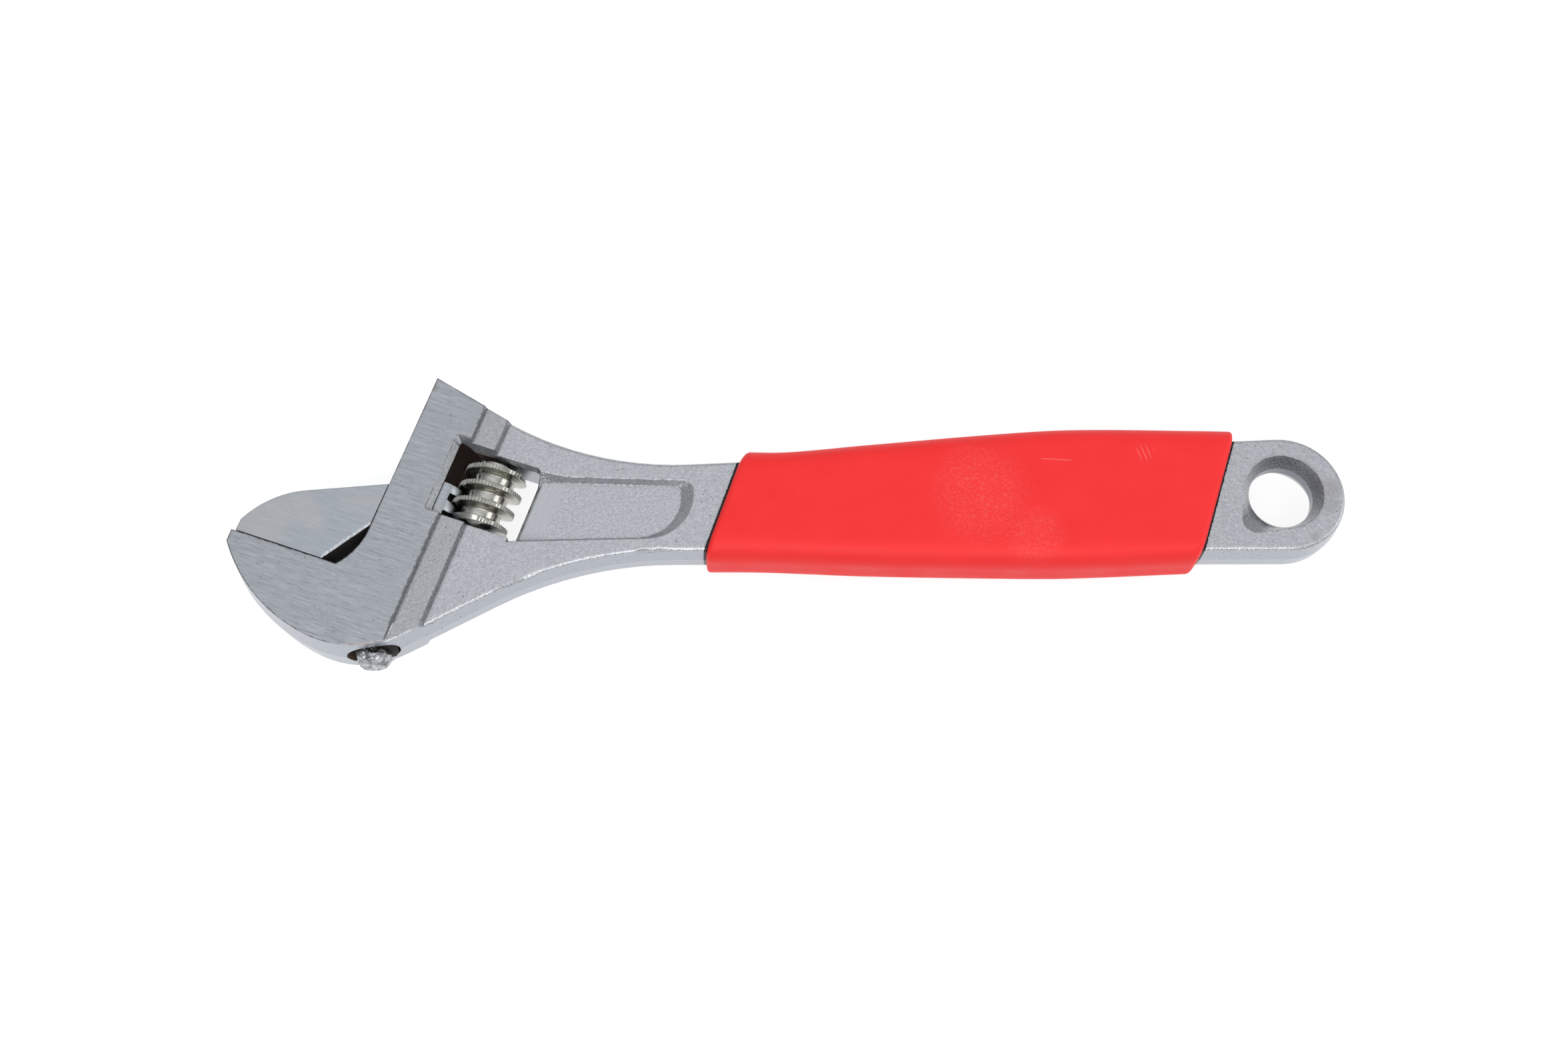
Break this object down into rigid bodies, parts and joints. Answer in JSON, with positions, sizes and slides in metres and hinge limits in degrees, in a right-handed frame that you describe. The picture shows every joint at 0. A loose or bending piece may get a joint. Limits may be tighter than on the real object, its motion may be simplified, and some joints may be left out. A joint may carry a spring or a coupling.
{
  "type": "adjustable wrench",
  "caption": "Adjustable wrench with an angled forged head, a worm-driven sliding jaw, a soft sleeve on the handle and a hanging hole.",
  "frame": {"origin": "centre of the hanging hole in the handle's end, at mid-thickness", "axes": "the handle lies along X with the head towards -X, +Y is the side that the movable jaw opens to, +Z is square to the flat faces"},
  "size_m": [0.2499, 0.0672, 0.015],
  "materials": {
    "forged_steel": "shot-blasted and plated forging with ground head faces",
    "ground_steel": "ground",
    "plated_steel": "nickel-plated, knurled",
    "pin_steel": "turned",
    "spring_steel": "drawn wire",
    "grip_rubber": "moulded soft PVC, satin"
  },
  "bodies": {
    "frame": {"forged_body": "forged_steel", "worm_pin": "pin_steel", "worm_spring": "spring_steel", "grip_sleeve": "grip_rubber"},
    "jaw": {"movable_jaw": "ground_steel"},
    "worm": {"adjusting_worm": "plated_steel"}
  },
  "joints": [
    {"name": "jaw_slide", "type": "slide", "parent": "frame", "child": "jaw", "axis": [0.3486, 0.9373, 0], "range_m": [0, 0.03]},
    {"name": "worm_spin", "type": "hinge", "parent": "frame", "child": "worm", "pos_m": [-0.17974, 0.00424, 0], "axis": [0.3486, 0.9373, 0], "range_deg": [-2541.5, 0]}
  ],
  "couplings": [
    {"joint": "worm_spin", "follows": "jaw_slide", "rad_per_m": -1478.4}
  ]
}
